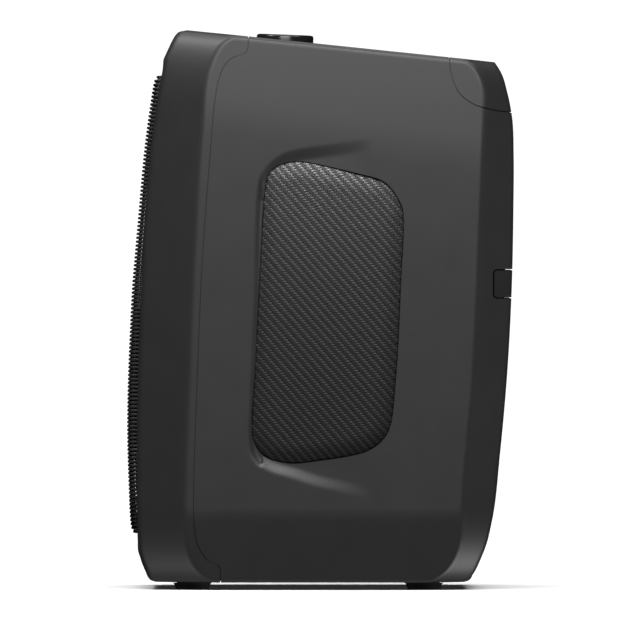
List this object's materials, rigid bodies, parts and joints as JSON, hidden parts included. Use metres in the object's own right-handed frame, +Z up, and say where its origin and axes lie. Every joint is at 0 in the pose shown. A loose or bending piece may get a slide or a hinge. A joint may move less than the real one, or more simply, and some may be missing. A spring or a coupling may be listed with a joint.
{
  "type": "ceramic space heater",
  "caption": "Free-standing upright fan heater: bevelled casing, domed perforated front grille, textured side pads, rotary knob on top, lift-off rear filter cover and rubber feet.",
  "frame": {"origin": "on the resting surface, under the centre of the object's box", "axes": "+Z up, +Y to the rear (the grille faces -Y), +X to the right seen from the front"},
  "size_m": [0.2, 0.1819, 0.2622],
  "materials": {
    "shell_plastic": "fine satin moulded texture",
    "trim_plastic": "satin black",
    "grille_mesh": "black perforated sheet, satin",
    "pad_weave": "raised twill pattern, satin",
    "knob_gloss": "polished black",
    "panel_gloss": "smooth black",
    "lens": "tinted lens",
    "foot_rubber": "matt black rubber",
    "inner_plastic": "moulded heat-resistant plastic",
    "switch_plastic": "moulded light grey plastic",
    "board": "green lacquered board",
    "relay": "dark blue moulded case",
    "mica": "heat-resistant board",
    "ceramic_bar": "unglazed off-white ceramic",
    "fin_aluminium": "folded foil, satin",
    "steel": "zinc-plated, satin",
    "bob_brass": "turned, satin",
    "filter_foam": "open black filter mesh",
    "fan_plastic": "satin grey-black plastic"
  },
  "bodies": {
    "casing": {"front_frame": "shell_plastic", "main_shell": "shell_plastic", "rear_handle_cap": "shell_plastic", "front_grille": "grille_mesh", "grille_retainer": "inner_plastic", "side_pad_left": "pad_weave", "side_pad_right": "pad_weave", "control_panel": "panel_gloss", "rotary_switch_body": "switch_plastic", "indicator_lens": "lens", "control_board": "board", "power_relay": "relay", "air_duct": "inner_plastic", "element_frame": "mica", "thermal_cutoff": "steel", "fan_shroud": "inner_plastic", "motor_case": "steel", "motor_bracket": "inner_plastic", "tip_switch_case": "switch_plastic", "tip_pivot_pin": "steel", "terminal_block": "switch_plastic", "cord_gland": "foot_rubber", "foot_front_left": "foot_rubber", "foot_front_right": "foot_rubber", "foot_rear_left": "foot_rubber", "foot_rear_right": "foot_rubber", "ceramic_bar_1": "ceramic_bar", "shell_screw_1": "steel", "ceramic_bar_2": "ceramic_bar", "shell_screw_2": "steel", "ceramic_bar_3": "ceramic_bar", "shell_screw_3": "steel", "ceramic_bar_4": "ceramic_bar", "shell_screw_4": "steel", "heat_fin_1": "fin_aluminium", "heat_fin_2": "fin_aluminium", "heat_fin_3": "fin_aluminium", "heat_fin_4": "fin_aluminium", "heat_fin_5": "fin_aluminium"},
    "fan": {"fan_impeller": "fan_plastic", "motor_shaft": "steel"},
    "knob": {"control_knob": "knob_gloss", "switch_shaft": "steel"},
    "filter": {"filter_cover": "shell_plastic", "filter_grip_bar": "trim_plastic", "filter_mesh": "filter_foam"},
    "tip_pendulum_body": {"tip_pendulum": "bob_brass"}
  },
  "joints": [
    {"name": "fan_spin", "type": "hinge", "parent": "casing", "child": "fan", "pos_m": [0, 0.01, 0.125], "axis": [0, 1, 0], "continuous": true},
    {"name": "knob_turn", "type": "hinge", "parent": "casing", "child": "knob", "pos_m": [0, -0.0168, 0.2506], "axis": [0, -0.0384, -0.9993], "range_deg": [0, 270]},
    {"name": "filter_slide", "type": "slide", "parent": "casing", "child": "filter", "axis": [0, 1, 0], "range_m": [0, 0.06]},
    {"name": "tip_swing", "type": "hinge", "parent": "casing", "child": "tip_pendulum_body", "pos_m": [-0.058, 0.012, 0.031], "axis": [0, 1, 0], "range_deg": [-25, 25]}
  ]
}
